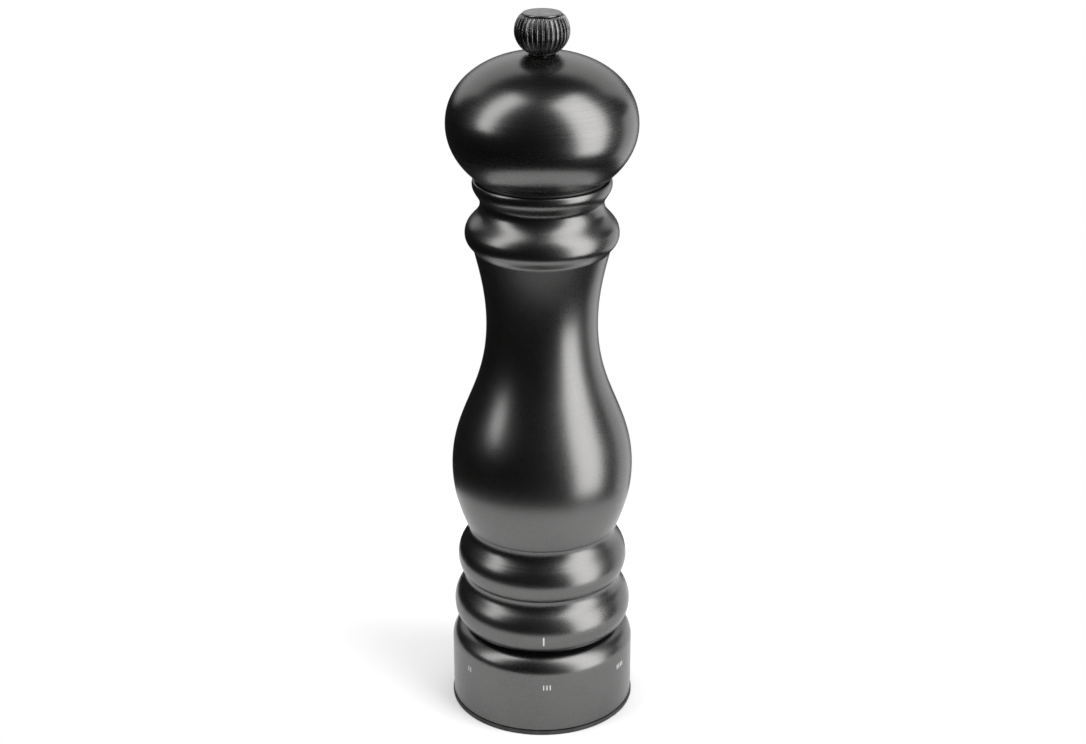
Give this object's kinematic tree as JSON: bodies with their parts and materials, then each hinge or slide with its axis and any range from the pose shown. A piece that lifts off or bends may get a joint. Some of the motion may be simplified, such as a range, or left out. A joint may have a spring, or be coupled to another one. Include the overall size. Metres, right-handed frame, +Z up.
{
  "type": "pepper mill",
  "caption": "Turned column pepper mill with a twist head, a screw-on ribbed knob and a stepped grind ring at its base.",
  "frame": {"origin": "centre of the mill's axis on the surface that it stands on", "axes": "+Z up along the mill's axis; -Y is the front, where the index mark on the body points at a grind mark on the ring; +X is to the right of the front"},
  "size_m": [0.0566, 0.057, 0.2193],
  "materials": {
    "carbon_metal": "dark carbon grey metal, finely brushed round the turning, satin",
    "knob_metal": "near-black satin metal",
    "black_plastic": "fine matt moulded",
    "grey_plastic": "matt moulded",
    "foot_rubber": "matt rubber",
    "hard_steel": "dark hardened steel, cut teeth",
    "bright_steel": "drawn and plated, light scratches",
    "spring_steel": "drawn wire and strip",
    "brass": "machined"
  },
  "bodies": {
    "body": {"body_shell": "carbon_metal", "body_core": "grey_plastic", "mouth_ring": "black_plastic", "mechanism_housing": "black_plastic", "burr_holder": "black_plastic", "housing_screw_1": "bright_steel", "housing_screw_2": "bright_steel", "housing_screw_3": "bright_steel", "retaining_clip": "spring_steel", "burr_ring": "hard_steel", "guide_bar": "bright_steel", "guide_bar_screw_1": "bright_steel", "guide_bar_screw_2": "bright_steel", "detent_spring": "spring_steel"},
    "shaft": {"drive_shaft": "bright_steel", "shaft_clip_lower": "spring_steel", "thrust_washer": "brass", "shaft_clip_upper": "spring_steel", "burr_spring": "spring_steel"},
    "cone": {"burr_cone": "hard_steel"},
    "bridge": {"adjuster_bridge": "bright_steel", "bridge_pad": "brass"},
    "ring": {"adjuster_shell": "carbon_metal", "adjuster_core": "black_plastic", "foot_ring": "foot_rubber"},
    "head": {"head_shell": "carbon_metal", "head_core": "grey_plastic", "drive_plate": "bright_steel", "drive_plate_screw_1": "bright_steel", "drive_plate_screw_2": "bright_steel", "drive_plate_screw_3": "bright_steel"},
    "washer": {"knob_washer": "black_plastic"},
    "knob": {"knob_grip": "knob_metal", "knob_cap": "knob_metal", "knob_nut": "brass"}
  },
  "joints": [
    {"name": "adjuster_turn", "type": "hinge", "parent": "body", "child": "ring", "pos_m": [0, 0, 0.012], "axis": [0, 0, 1], "range_deg": [-168, 112], "deforming": ["detent_spring"]},
    {"name": "bridge_lift", "type": "slide", "parent": "body", "child": "bridge", "axis": [0, 0, 1], "range_m": [-0.00084, 0.00056]},
    {"name": "head_turn", "type": "hinge", "parent": "body", "child": "shaft", "pos_m": [0, 0, 0.1], "axis": [0, 0, 1], "continuous": true},
    {"name": "burr_lift", "type": "slide", "parent": "shaft", "child": "cone", "axis": [0, 0, 1], "range_m": [-0.00084, 0.00056], "deforming": ["burr_spring"]},
    {"name": "head_lift", "type": "slide", "parent": "shaft", "child": "head", "axis": [0, 0, 1], "range_m": [0, 0.065]},
    {"name": "knob_rise", "type": "slide", "parent": "head", "child": "washer", "axis": [0, 0, 1], "range_m": [0, 0.0072]},
    {"name": "knob_turn", "type": "hinge", "parent": "washer", "child": "knob", "pos_m": [0, 0, 0.214], "axis": [0, 0, 1], "range_deg": [0, 3240]}
  ],
  "couplings": [
    {"joint": "bridge_lift", "follows": "adjuster_turn", "m_per_rad": 0.00028648},
    {"joint": "burr_lift", "follows": "adjuster_turn", "m_per_rad": 0.00028648},
    {"joint": "knob_turn", "follows": "knob_rise", "rad_per_m": 7854}
  ]
}
